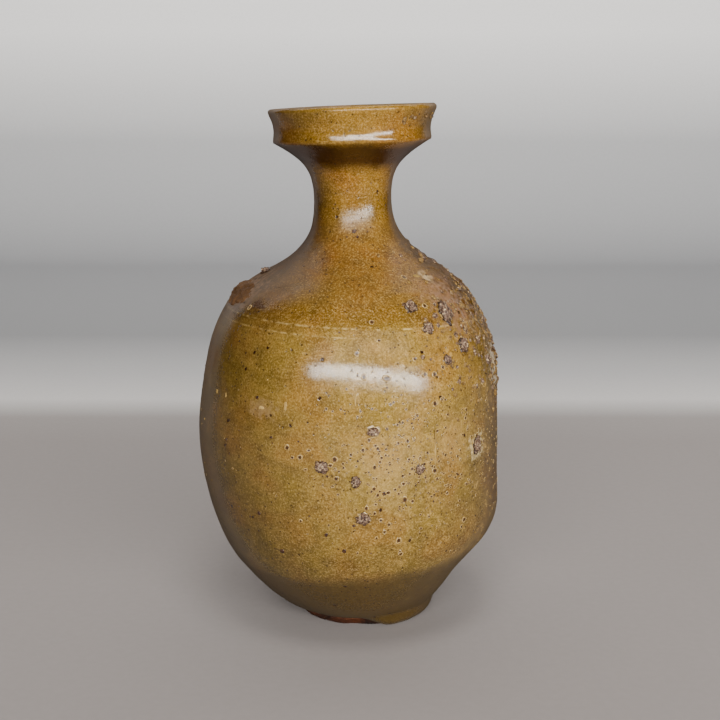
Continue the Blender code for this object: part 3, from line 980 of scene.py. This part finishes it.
# %% Ground colour of the glaze
def glaze_ground(tree, coords, round_it, z):
    """Colour by height, darkened by painted shade by how far round, and then clouded, run and streaked."""
    wander = add(tree, "TexNoise", {"Vector": coords, "Scale": cells(14), "Detail": 3.0})
    shift = add(tree, "MapRange", {0: wander, 1: 0.0, 2: 1.0, 3: -2.5 * MM, 4: 2.5 * MM})
    high = add(tree, "Math", {0: z, 1: shift}, operation="ADD")
    high = add(tree, "MapRange", {0: high, 1: 0.0, 2: HEIGHT_SPAN})
    base = add(tree, "ValToRGB", {0: high}, stops=BY_HEIGHT)
    turn = add(tree, "MapRange", {0: round_it, 1: -math.pi, 2: math.pi})
    painted_shade = add(tree, "ValToRGB", {0: turn}, stops=PAINTED_SHADE_ROUND)

    # Cloudy patches, vertical runs, and faint streaks drawn out round the pot by the wheel
    clouds = add(tree, "TexNoise", {"Vector": coords, "Scale": cells(9), "Detail": 5.0, "Roughness": 0.6})
    cloudy = add(tree, "ValToRGB", {0: clouds}, stops=((0.30, 0.50), (0.5, 0.86), (0.66, 1.0)))
    stretch = add(tree, "Mapping", {"Vector": coords, "Scale": (1.0, 1.0, 0.12)})
    runs = add(tree, "TexNoise", {"Vector": stretch, "Scale": cells(3.2), "Detail": 3.0})
    running = add(tree, "ValToRGB", {0: runs}, stops=((0.35, 0.84), (0.65, 1.0)))
    drawn = add(tree, "Mapping", {"Vector": coords, "Scale": (0.22, 0.22, 1.3)})
    streaks = add(tree, "TexNoise", {"Vector": drawn, "Scale": cells(1.8), "Detail": 4.0})
    streaky = add(tree, "ValToRGB", {0: streaks}, stops=((0.36, 0.74), (0.60, 1.0)))

    # Slow drift of hue, olive where the ash was thick and pinkish where it was thin
    drift = add(tree, "TexNoise", {"Vector": coords, "Scale": cells(20), "Detail": 2.0})
    hue = add(tree, "ValToRGB", {0: drift}, stops=((0.36, "#f0f4d6"), (0.5, "#ffffff"), (0.64, "#ffeee2")))
    # The first layer is painted shade by how far round; the others are clouds, runs, streaks and hue.
    for share, layer in ((0.85, painted_shade), (0.8, cloudy), (0.6, running), (0.7, streaky), (0.8, hue)):
        base = add(tree, "Mix", {0: share, 6: base, 7: layer}, data_type="RGBA", blend_type="MULTIPLY")
    return base, shift, high, painted_shade, clouds, cloudy, runs


# %% Granules, the thin coat below the dip line, and painted shade under the dish
def granules_coats_and_shade(tree, base, coords, z, lean, shift, high, painted_shade):
    """Brown and cream granules, covered below the dip line where the glaze is one thin, smooth, dark coat,
    and by painted shade under the dish.
    """
    rise = add(tree, "Math", {0: lean, 1: DIP_RISE}, operation="MULTIPLY")
    over = add(tree, "Math", {0: z, 1: rise}, operation="SUBTRACT")
    over = add(tree, "Math", {0: over, 1: shift}, operation="ADD")
    thin = add(tree, "MapRange", {0: over, 1: DIP_LINE + DIP_FADE, 2: DIP_LINE - DIP_FADE, 3: 0.0, 4: 0.82})
    grains = add(tree, "TexNoise", {"Vector": coords, "Scale": cells(0.8), "Detail": 5.0, "Roughness": 0.75})
    brown = add(tree, "MapRange", {0: grains, 1: 0.50, 2: 0.30, 3: 0.0, 4: 0.74})
    cream = add(tree, "MapRange", {0: grains, 1: 0.51, 2: 0.72, 3: 0.0, 4: 0.64})
    # Cream granules are fewer where painted shade darkens the side.
    less = add(tree, "Math", {0: cream, 1: painted_shade}, operation="MULTIPLY")
    # Painted shade under the dish.
    shaded = add(tree, "ValToRGB", {0: high}, stops=UNDER_DISH_SHADE_STOPS)
    shaded = add(tree, "Math", {0: shaded, 1: 0.9}, operation="MULTIPLY")
    coats_and_shade = ((brown, GRANULE_BROWN), (less, GRANULE_CREAM), (thin, BELOW_DIP), (shaded, UNDER_DISH_SHADE_BROWN))
    for share, colour in coats_and_shade:
        base = add(tree, "Mix", {0: share, 6: base, 7: srgb(colour)}, data_type="RGBA")
    return base, grains, thin


# %% The raised line round the shoulder, where the glaze gathered pale
def shoulder_lines(tree, base, round_it, z, lean, painted_shade, cloudy, runs):
    """The line at the joint, and a fainter one below it on the left."""
    line_at = add(tree, "Math", {0: lean, 1: SHOULDER_LEAN}, operation="MULTIPLY")
    line_at = add(tree, "Math", {0: z, 1: line_at}, operation="ADD")
    off_line = add(tree, "Math", {0: line_at, 1: SHOULDER_LINE}, operation="SUBTRACT")
    off_line = add(tree, "Math", {0: off_line}, operation="ABSOLUTE")
    line = add(tree, "MapRange", {0: off_line, 1: 0.55 * MM, 2: 0.05 * MM})
    lower = add(tree, "Math", {0: line_at, 1: SHOULDER_LINE - SECOND_LINE}, operation="SUBTRACT")
    lower = add(tree, "Math", {0: lower}, operation="ABSOLUTE")
    lower = add(tree, "MapRange", {0: lower, 1: 0.50 * MM, 2: 0.05 * MM, 3: 0.0, 4: 0.7})
    left = add(tree, "MapRange", {0: round_it, 1: 0.12, 2: -0.12})
    lower = add(tree, "Math", {0: lower, 1: left}, operation="MULTIPLY")
    line = add(tree, "Math", {0: line, 1: lower}, operation="MAXIMUM")
    seen = add(tree, "MapRange", {0: runs, 1: 0.42, 2: 0.62})
    # The line fades with the runs, the clouds and the painted shade by how far round.
    for fainter in (seen, cloudy, painted_shade):
        line = add(tree, "Math", {0: line, 1: fainter}, operation="MULTIPLY")
    return add(tree, "Mix", {0: line, 6: base, 7: srgb(CREAM_LINE)}, data_type="RGBA")


# %% Iron specks, and rings too small to model
def specks_and_pores(tree, base, coords, round_it, z, clouds, thin):
    """Small dark dots that sink into the skin, and fine ochre rings on the ash side."""
    warp = add(tree, "TexNoise", {"Vector": coords, "Scale": cells(1.4), "Detail": 3.0})
    bent = add(tree, "Mix", {0: 0.0016, 6: coords, 7: warp.outputs["Color"]}, data_type="RGBA")
    dots = add(tree, "TexVoronoi", {"Vector": bent, "Scale": cells(3.0)})
    fine = add(tree, "MapRange", {0: dots.outputs["Distance"], 1: 0.19, 2: 0.10, 3: 0.0, 4: 0.8})
    pits = add(tree, "TexVoronoi", {"Vector": bent, "Scale": cells(10.0)})
    big = add(tree, "MapRange", {0: pits.outputs["Distance"], 1: 0.105, 2: 0.06})
    speck = add(tree, "Math", {0: fine, 1: big}, operation="MAXIMUM")
    base = add(tree, "Mix", {0: speck, 6: base, 7: srgb(SPECK_BROWN)}, data_type="RGBA")

    pores = add(tree, "TexVoronoi", {"Vector": bent, "Scale": cells(4.2)})
    outside = add(tree, "MapRange", {0: pores.outputs["Distance"], 1: 0.34, 2: 0.27})
    inside = add(tree, "MapRange", {0: pores.outputs["Distance"], 1: 0.16, 2: 0.23})
    circle = add(tree, "Math", {0: outside, 1: inside}, operation="MULTIPLY")
    ash_side = add(tree, "MapRange", {0: round_it, 1: -0.1, 2: 0.7, 3: 0.08, 4: 0.6})
    groups = add(tree, "MapRange", {0: clouds, 1: 0.46, 2: 0.60})
    ashed = add(tree, "Math", {0: 1.0, 1: thin}, operation="SUBTRACT")
    below_shoulder = add(tree, "MapRange", {0: z, 1: 158 * MM, 2: 140 * MM})
    for fewer in (ash_side, groups, ashed, below_shoulder):
        circle = add(tree, "Math", {0: circle, 1: fewer}, operation="MULTIPLY")
    base = add(tree, "Mix", {0: circle, 6: base, 7: srgb(PORE_OCHRE)}, data_type="RGBA")
    return base, speck, circle


# %% The whole glaze
def ash_glaze(name):
    """Natural ash glaze, glossy where it melted and dull where it stayed dry."""
    material, tree, shader, coords = new_material(name)
    x, y, z = add(tree, "SeparateXYZ", {0: coords}).outputs
    back = add(tree, "Math", {0: AXIS, 1: y}, operation="SUBTRACT")
    side = add(tree, "Math", {0: x, 1: AXIS}, operation="SUBTRACT")
    round_it = add(tree, "Math", {0: side, 1: back}, operation="ARCTAN2")
    lean = add(tree, "Math", {0: round_it}, operation="SINE")
    base, shift, high, painted_shade, clouds, cloudy, runs = glaze_ground(tree, coords, round_it, z)
    base, grains, thin = granules_coats_and_shade(tree, base, coords, z, lean, shift, high, painted_shade)
    base = shoulder_lines(tree, base, round_it, z, lean, painted_shade, cloudy, runs)

    # Patches where ash lay thick, thin or dry, with ragged edges
    torn = add(tree, "TexNoise", {"Vector": coords, "Scale": cells(2.4), "Detail": 5.0})
    torn = add(tree, "MapRange", {0: torn, 1: 0.25, 2: 0.75, 3: -0.9, 4: 0.9})
    for spot in PATCHES:
        base = patch(tree, base, round_it, z, torn, spot)
    base, speck, circle = specks_and_pores(tree, base, coords, round_it, z, clouds, thin)
    feed(base, shader, "Base Color")

    # Gloss, broken up where ash stayed dry, and softer where the wall turns away
    gloss = add(tree, "MapRange", {0: grains, 1: 0.3, 2: 0.7, 3: 0.08, 4: 0.20})
    dry = add(tree, "MapRange", {0: z, 1: 155 * MM, 2: 164 * MM, 3: 0.0, 4: 0.22})
    wet = add(tree, "MapRange", {0: z, 1: 205 * MM, 2: 192 * MM})
    dry = add(tree, "Math", {0: dry, 1: wet}, operation="MULTIPLY")
    turned_away = add(tree, "LayerWeight", {"Blend": 0.5})
    softer = add(tree, "MapRange", {0: turned_away.outputs["Facing"], 1: 0.50, 2: 0.92, 3: 0.0, 4: 0.60})
    for rougher in (dry, softer):
        gloss = add(tree, "Math", {0: gloss, 1: rougher}, operation="ADD")
    feed(gloss, shader, "Roughness")
    shader.inputs["IOR"].default_value = GLASS_IOR
    shader.inputs["Specular IOR Level"].default_value = GLAZE_SHINE

    # Relief: granules, rings and sunken specks
    skin = add(tree, "Bump", {"Height": grains, "Distance": 0.07 * MM, "Strength": 0.5})
    skin = add(tree, "Bump", {"Height": circle, "Distance": 0.12 * MM, "Strength": 0.6, "Normal": skin})
    skin = add(tree, "Bump", {"Height": speck, "Distance": 0.15 * MM, "Strength": 0.6, "Normal": skin},
               invert=True)
    feed(skin, shader, "Normal")
    return material


glazes = {slot: ash_glaze("ash_glaze_" + slot) for slot in ("body_glaze", "shoulder_glaze", "mouth_glaze")}
print("glazes:", ", ".join(sorted(glazes)))

# %% [markdown]
# ## Bare stoneware, kiln grit and blister glaze
# Bare stoneware is a dry iron-rich clay, fired to a dark red-brown: matt, sandy, with pale
# grog and dark spots. Kiln grit is fused refractory sand, mauve-grey with cream and brown,
# and glazed dark round its foot, with painted shade where it meets the wall. A healed
# blister is the same ash glaze, gathered on its rim to cream and thin and brown in its hollow.

# %% Bare clay
DRY_CLAY = 0.82
CLAY_SHINE = 0.2


def bare_clay(name, dark, warm, pale):
    """Sandy clay in two colours, with pale grog in it."""
    material, tree, shader, coords = new_material(name)
    sand = add(tree, "TexNoise", {"Vector": coords, "Scale": cells(1.3), "Detail": 7.0, "Roughness": 0.7})
    clouds = add(tree, "TexNoise", {"Vector": coords, "Scale": cells(8), "Detail": 4.0})
    colour = add(tree, "ValToRGB", {0: clouds}, stops=((0.35, dark), (0.65, warm)))
    grog = add(tree, "MapRange", {0: sand, 1: 0.60, 2: 0.72})
    colour = add(tree, "Mix", {0: grog, 6: colour, 7: srgb(pale)}, data_type="RGBA")
    feed(colour, shader, "Base Color")
    shader.inputs["Roughness"].default_value = DRY_CLAY
    shader.inputs["Specular IOR Level"].default_value = CLAY_SHINE
    grain = add(tree, "Bump", {"Height": sand, "Distance": 0.35 * MM, "Strength": 0.7})
    feed(grain, shader, "Normal")
    return material


# %% Kiln grit, blister glaze and iron
HEALED_GLAZE = 0.30
IRON_GLASS = 0.35


def kiln_grit(name):
    """Mauve-grey grit with cream in it, and dark glaze and painted shade round its foot."""
    material, tree, shader, coords = new_material(name)
    rise = add(tree, "Attribute", attribute_name="rise")
    tint = add(tree, "Attribute", attribute_name="tint")
    mottle = add(tree, "TexNoise", {"Vector": coords, "Scale": cells(1.0), "Detail": 5.0, "Roughness": 0.65})
    colour = add(tree, "ValToRGB", {0: mottle},
                 stops=((0.38, "#24140c"), (0.47, "#503828"), (0.57, "#7c6450"), (0.68, "#cdb98c")))
    coated = add(tree, "ValToRGB", {0: mottle},
                 stops=((0.38, "#3d2810"), (0.50, "#6e5222"), (0.62, "#8c6f38"), (0.72, "#c4ab78")))
    bare = add(tree, "MapRange", {0: tint.outputs["Fac"], 1: 0.45, 2: 0.85})
    colour = add(tree, "Mix", {0: bare, 6: coated, 7: colour}, data_type="RGBA")
    # Painted shade and dark glaze darken the foot of the lump, where it meets the wall.
    low = add(tree, "MapRange", {0: rise.outputs["Fac"], 1: 0.45, 2: 0.12})
    colour = add(tree, "Mix", {0: low, 6: colour, 7: srgb("#2c1a0d")}, data_type="RGBA")
    feed(colour, shader, "Base Color")
    gloss = add(tree, "MapRange", {0: low, 3: 0.60, 4: 0.28})
    feed(gloss, shader, "Roughness")
    grain = add(tree, "Bump", {"Height": mottle, "Distance": 0.5 * MM, "Strength": 0.8})
    feed(grain, shader, "Normal")
    return material


def blister_glaze(name):
    """Cream on the rim of the ring and dark brown in its hollow."""
    material, tree, shader, coords = new_material(name)
    middle = add(tree, "Attribute", attribute_name="from_middle")
    mottle = add(tree, "TexNoise", {"Vector": coords, "Scale": cells(0.9), "Detail": 4.0})
    ring = add(tree, "ValToRGB", {0: middle.outputs["Fac"]},
               stops=((0.0, "#2e1c0a"), (0.42, "#452b10"), (0.60, "#7a5c2a"), (0.74, "#bb9f66"),
                      (0.92, "#80622a")))
    worn = add(tree, "ValToRGB", {0: mottle}, stops=((0.36, 0.34), (0.60, 1.0)))
    colour = add(tree, "Mix", {0: 0.6, 6: ring, 7: worn}, data_type="RGBA", blend_type="MULTIPLY")
    feed(colour, shader, "Base Color")
    shader.inputs["Roughness"].default_value = HEALED_GLAZE
    shader.inputs["IOR"].default_value = GLASS_IOR
    grain = add(tree, "Bump", {"Height": mottle, "Distance": 0.12 * MM, "Strength": 0.5})
    feed(grain, shader, "Normal")
    return material


def iron_glaze(name):
    """Iron that melted out into the glaze, a glassy dark maroon."""
    material, tree, shader, coords = new_material(name)
    mottle = add(tree, "TexNoise", {"Vector": coords, "Scale": cells(0.7), "Detail": 4.0})
    colour = add(tree, "ValToRGB", {0: mottle}, stops=((0.40, "#1c0d0a"), (0.60, "#4a2c14")))
    feed(colour, shader, "Base Color")
    shader.inputs["Roughness"].default_value = IRON_GLASS
    return material


# %% The finishes, each in its own colours
foot_clay = bare_clay("fired_stoneware", "#120602", "#43200b", "#8a5c32")
inner_clay = bare_clay("stoneware_inside", "#3f2a15", "#5f4225", "#8a6c45")
flake_clay = bare_clay("dry_clay_flake", "#402a16", "#5c4128", "#7a5e3e")
chip_skin = bare_clay("feldspar", "#7d6434", "#a88c54", "#c9b384")
grit_skin = kiln_grit("fused_kiln_grit")
ring_skin = blister_glaze("healed_blister_glaze")
pit_skin = iron_glaze("iron_melt")
print("materials:", len([m for m in bpy.data.materials if m.use_nodes]))

# %% [markdown]
# ## Giving each piece its finish
# Only the outside, the mouth and a hand's reach down the neck are glazed. The faces that
# look inwards below that are bare clay.

# %% Finish the wall sections
SECTION_SLOT = {
    "lower_wall": "body_glaze", "belly_wall": "body_glaze", "shoulder_dome": "shoulder_glaze",
    "neck_tube": "mouth_glaze", "mouth_dish": "mouth_glaze", "rim_collar": "mouth_glaze",
}
GLAZED_DOWN_TO = 205 * MM
CAVITY_FLOOR = 9 * MM


def finish_wall(piece, slot):
    """Glaze outside and bare clay inside, below the glazed throat."""
    piece.data.materials.clear()
    piece.data.materials.append(glazes[slot])
    piece.data.materials.append(inner_clay)
    inside = 0
    for face in piece.data.polygons:
        outward = Vector((face.center.x - AXIS, face.center.y - AXIS, 0.0)).normalized()
        bare = face.normal.dot(outward) < 0.05 and face.center.z < GLAZED_DOWN_TO
        face.material_index = int(bare and face.center.z > CAVITY_FLOOR)
        inside += face.material_index
    print(piece.name, inside, "bare faces inside")


for node, slot in SECTION_SLOT.items():
    finish_wall(fired[node], slot)

# %% Hand every piece to the frame
def settle_in(piece, skin=None, node=None):
    """Gives a piece its skin, hides the CAD node it stands for, and hangs it on the root."""
    if skin:
        piece.data.materials.clear()
        piece.data.materials.append(skin)
    if node:
        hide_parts(node)
    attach(piece, "root")


for node, slot in SECTION_SLOT.items():
    settle_in(fired[node], node=node)
settle_in(fired["base_disc"], foot_clay, "base_disc")
settle_in(fired["stuck_shard"], flake_clay, "stuck_shard")
for node in grit_nodes:
    settle_in(fired[node], grit_skin, node)
strewn = (
    (crumbs, "kiln_grit", grit_skin), (lip_grit, "kiln_grit", grit_skin),
    (blisters, "body_glaze", ring_skin), (small_blisters, "body_glaze", ring_skin),
    (iron_pits, "body_glaze", pit_skin), (chips, "kiln_grit", chip_skin),
)
for piece, slot, skin in strewn:
    settle_in(piece, skin)
print("pieces handed over:", len(fired) + len(strewn))

# %% [markdown]
# ## The studio
# A wide sheet of paper lies under the bottle and curves up far behind it. Light and shade
# are painted on it in a slow fade: a pale band of painted light on the floor behind the
# bottle, a darker middle of painted shade, and a pale top of painted light. It stands well
# outside the camera's circle, so nothing hides the bottle from any side. The key light is a
# long, low strip in front, which draws the soft broad band across the belly and the small
# ones on the neck and the collar. It reaches further to the right than to the left, so the
# left side falls into shade. A dimmer panel above it adds a soft glow, and one high in front
# throws the shadow behind the foot. That one is kept out of the reflections, as a polarising
# filter would, to leave the shoulder clean.

# %% Floor and paper sweep
PAPER_BACK = 1.5
PAPER_FRONT = -1.7
PAPER_BEND = 0.25
PAPER_WIDE = 4.0
PAPER_ABOVE_BEND = 1.2
DRY_PAPER = 0.9
FADE_STARTS = 0.30
FADE_LONG = 1.55
PAINTED_LIGHT_FADE = (
    # share of the way back and the tint there: floor, a pale band of painted light, a darker middle of
    # painted shade, and a pale top of painted light
    (0.00, "#8b8583"), (0.045, "#908b89"), (0.085, "#c2c0bf"), (0.15, "#abaaab"), (0.27, "#848587"),
    (0.62, "#8b8c8f"), (0.88, "#aeafb1"), (1.00, "#efefef"),
)


def paper_sweep():
    """A flat sheet, bent up at the back and drawn on upwards."""
    let_go()
    bpy.ops.mesh.primitive_plane_add(size=1.0, location=(0, 0, 0))
    sheet = bpy.context.object
    sheet.name = "paper_sweep"
    flat = PAPER_BACK - PAPER_BEND - PAPER_FRONT
    sheet.data.transform(Matrix.Diagonal((PAPER_WIDE, flat, 1.0, 1.0)))
    sheet.data.transform(Matrix.Translation((0, PAPER_FRONT + flat / 2, 0)))
    spots = [vertex.co.y for vertex in sheet.data.vertices]
    back_edge = max(range(4), key=lambda index: sum(spots[v] for v in sheet.data.edges[index].vertices))
    in_edit(sheet, "EDGE")
    sheet.data.edges[back_edge].select = True
    bpy.ops.object.mode_set(mode="EDIT")
    bend_centre = (0, PAPER_BACK - PAPER_BEND, PAPER_BEND)
    bpy.ops.mesh.spin(steps=24, angle=-math.pi / 2, center=bend_centre, axis=(1, 0, 0))
    bpy.ops.mesh.extrude_region_move(TRANSFORM_OT_translate={"value": (0, 0, PAPER_ABOVE_BEND)})
    bpy.ops.object.mode_set(mode="OBJECT")
    bpy.ops.object.shade_smooth()
    return sheet


def graduated_paper():
    """Paper with light and shade painted on it in a slow fade, along the floor and on up the wall."""
    paper, tree, shader, coords = new_material("graduated_paper")
    split = add(tree, "SeparateXYZ", {0: coords})
    along = add(tree, "Math", {0: split.outputs["Y"], 1: split.outputs["Z"]}, operation="ADD")
    share = add(tree, "MapRange", {0: along, 1: FADE_STARTS, 2: FADE_STARTS + FADE_LONG})
    # The fade paints light and shade on the paper.
    tint = add(tree, "ValToRGB", {0: share}, stops=PAINTED_LIGHT_FADE)
    fibre = add(tree, "TexNoise", {"Vector": coords, "Scale": cells(4), "Detail": 3.0})
    shade = add(tree, "ValToRGB", {0: fibre}, stops=((0.3, 0.96), (0.7, 1.0)))
    tint = add(tree, "Mix", {0: 1.0, 6: tint, 7: shade}, data_type="RGBA", blend_type="MULTIPLY")
    feed(tint, shader, "Base Color")
    shader.inputs["Roughness"].default_value = DRY_PAPER
    return paper


sweep = paper_sweep()
sweep.data.materials.append(graduated_paper())
print("paper sweep:", [round(c, 2) for c in sweep.dimensions])

# %% Lights
STRIP_ROLL = math.radians(-8.0)
WARM = (1.0, 0.97, 0.93)


def soft_light(name, size, place, aim, power, roll=0.0):
    """A soft panel of light, aimed at a point and hidden from the camera."""
    data = bpy.data.lights.new(name, "AREA")
    data.shape = "RECTANGLE"
    data.size, data.size_y = size
    data.energy = power
    data.color = WARM
    light = bpy.data.objects.new(name, data)
    light.location = place
    light.rotation_euler = (Vector(aim) - Vector(place)).to_track_quat("-Z", "Y").to_euler()
    light.rotation_euler.rotate_axis("Z", roll)
    light.visible_camera = False
    bpy.context.collection.objects.link(light)
    print(name, power, "W")
    return light


soft_light("front_strip", (3.05, 0.12), (0.37, -1.5, 0.54), (0, 0, 0.12), 74, roll=STRIP_ROLL)
soft_light("front_glow", (2.6, 0.45), (0.30, -1.45, 1.12), (0, 0, 0.12), 7)
shadow_light = soft_light("high_front", (0.45, 0.45), (0.05, -0.45, 1.35), (0, 0, 0.0), 8)
shadow_light.visible_glossy = False
soft_light("backdrop_wash", (2.4, 0.4), (0.0, 0.55, 1.3), (0, 1.5, 0.35), 21)

# %% [markdown]
# ## The room
# A studio is kept dim, so that only the panels light the pot, yet its walls look pale where
# they show past the paper. A Light Path node tells the two apart: what is looked at
# directly is pale, and what falls on the bottle is faint.

# %% The room, dim as a light but pale to look at
ROOM_LIGHT = 0.05
ROOM_SEEN = 0.55

world = bpy.data.worlds.new("studio_room")
world.use_nodes = True
room = world.node_tree.nodes["Background"]
room.inputs["Color"].default_value = srgb("#b9bcc2")
looking = add(world.node_tree, "LightPath")
strength = add(world.node_tree, "MapRange",
               {0: looking.outputs["Is Camera Ray"], 3: ROOM_LIGHT, 4: ROOM_SEEN})
world.node_tree.links.new(strength.outputs[0], room.inputs["Strength"])
bpy.context.scene.world = world
print("room light:", ROOM_LIGHT)
